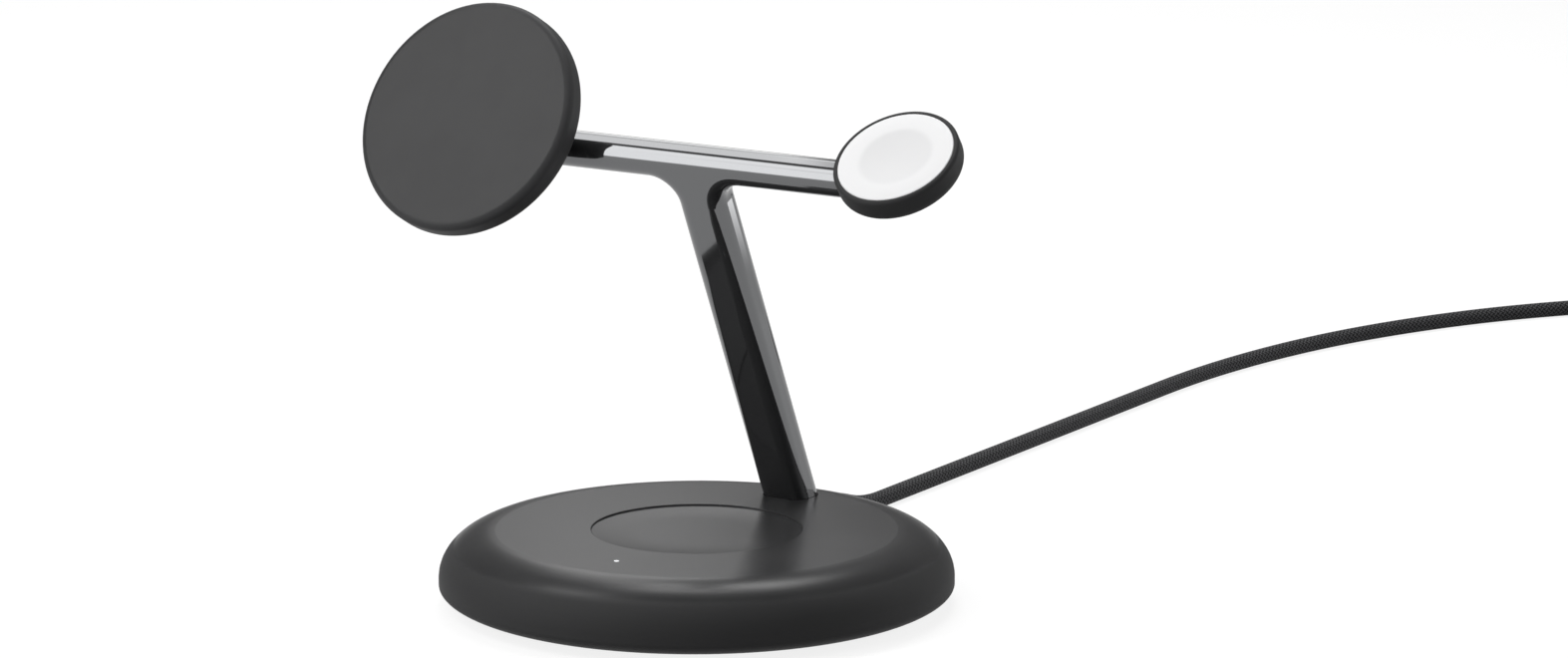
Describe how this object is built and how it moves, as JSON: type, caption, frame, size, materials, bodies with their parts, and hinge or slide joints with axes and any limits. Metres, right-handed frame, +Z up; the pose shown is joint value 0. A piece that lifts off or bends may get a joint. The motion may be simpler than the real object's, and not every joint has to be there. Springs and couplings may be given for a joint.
{
  "type": "three in one wireless charger",
  "caption": "Desk charging stand: round weighted base with a shallow earbud dish, leaning polished T-shaped arm, large tilted phone disc, small watch disc and a braided cord",
  "frame": {"origin": "on the floor under the middle of the round base", "axes": "+Z up, the charging faces look towards -Y and up, the phone disc is on -X and the watch disc on +X"},
  "size_m": [0.2081, 0.53, 0.1432],
  "materials": {
    "soft_touch": "soft-touch dark grey moulding",
    "polished_arm": "polished and plated casting",
    "white_face": "smooth white moulding",
    "foot_rubber": "matte silicone",
    "inner_plastic": "black moulding",
    "ballast_steel": "rolled plate",
    "screw_steel": "zinc plated",
    "board_green": "lacquered glass-fibre board",
    "component_black": "moulded components",
    "coil_copper": "enamelled copper winding",
    "ferrite": "sintered ferrite sheet",
    "magnet_nickel": "nickel plated",
    "bracket_zinc": "die-cast zinc",
    "light_pipe": "clear moulding",
    "lead_wire": "jacketed wire",
    "cord_braid": "braided sleeve",
    "plug_metal": "drawn shell"
  },
  "bodies": {
    "root": {"arm_frame": "polished_arm", "ballast_plate": "ballast_steel", "base_bottom_cover": "inner_plastic", "base_screws": "screw_steel", "base_top_cover": "soft_touch", "board_components": "component_black", "board_screws": "screw_steel", "board_standoffs": "screw_steel", "cable_boot": "foot_rubber", "coil_tray": "inner_plastic", "coil_tray_screws": "screw_steel", "cord_tie": "foot_rubber", "earbud_coil": "coil_copper", "earbud_ferrite": "ferrite", "foot_pad": "foot_rubber", "inner_power_lead": "lead_wire", "main_circuit_board": "board_green", "phone_back_plate": "soft_touch", "phone_circuit_board": "board_green", "phone_coil": "coil_copper", "phone_disc_shell": "soft_touch", "phone_ferrite": "ferrite", "phone_lead": "lead_wire", "phone_magnets": "magnet_nickel", "phone_neck_screws": "screw_steel", "plug_grip": "inner_plastic", "plug_shell": "plug_metal", "plug_tongue": "component_black", "power_cord": "cord_braid", "power_cord_coil": "cord_braid", "power_cord_tail": "cord_braid", "status_light_pipe": "light_pipe", "stem_bracket": "bracket_zinc", "stem_bracket_screws": "screw_steel", "stem_clamp_screws": "screw_steel", "watch_charging_face": "white_face", "watch_circuit_board": "board_green", "watch_coil": "coil_copper", "watch_disc_shell": "soft_touch", "watch_ferrite": "ferrite", "watch_lead": "lead_wire", "watch_magnet": "magnet_nickel", "watch_neck_screws": "screw_steel"}
  },
  "joints": []
}
